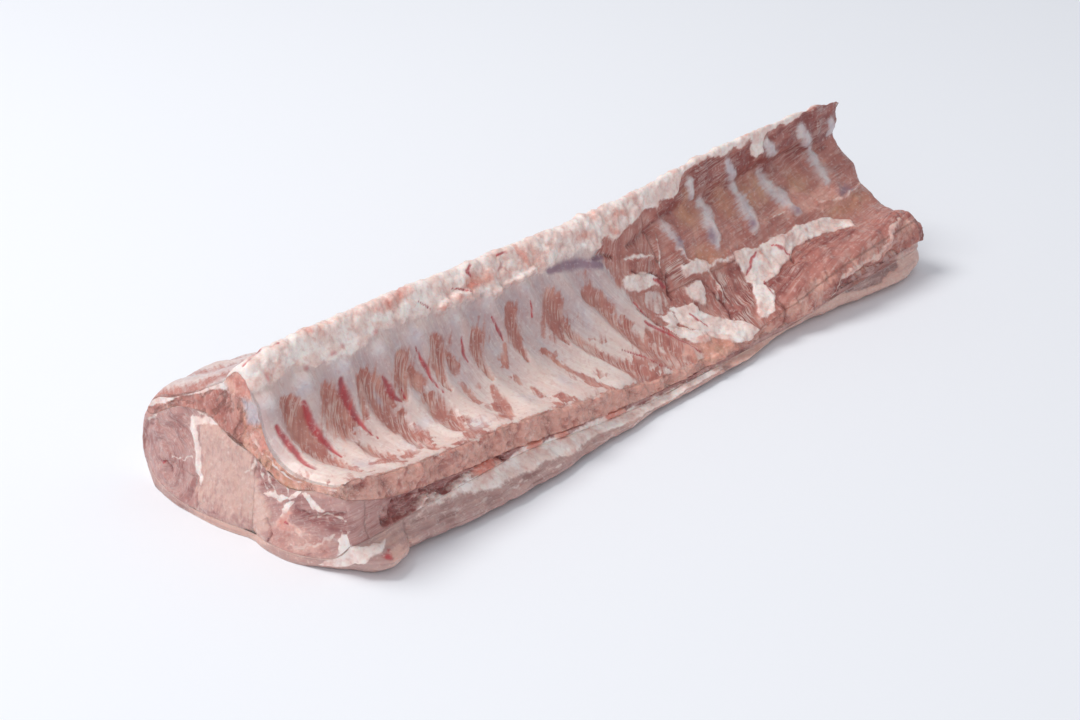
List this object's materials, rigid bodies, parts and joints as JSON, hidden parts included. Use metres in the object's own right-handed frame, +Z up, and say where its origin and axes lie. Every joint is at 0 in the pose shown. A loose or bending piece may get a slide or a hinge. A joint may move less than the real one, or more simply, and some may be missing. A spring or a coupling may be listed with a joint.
{
  "type": "raw pork loin",
  "caption": "Long raw bone-in pork loin lying on its fat side, with a hollow of film-covered ribs, a raised split backbone, cut ends and a sawn rib edge.",
  "frame": {"origin": "middle of the flat that the loin rests on", "axes": "+X along the loin from the blade end to the sirloin end, -Y towards the sawn rib edge, +Z up"},
  "size_m": [0.5963, 0.208, 0.1144],
  "materials": {
    "rib_rack": "moist ribs under pale grey-white film, brown-red meat between them, sawn bone and torn peach fat",
    "lean_meat": "moist raw pork lean, pink-beige to mauve, with fine fibres and white fat seams",
    "back_fat": "soft white to pinkish-grey fat under a thin smooth membrane"
  },
  "bodies": {
    "root": {"rib_rack": "rib_rack", "loin_muscle": "lean_meat", "fat_cap": "back_fat"}
  },
  "joints": []
}
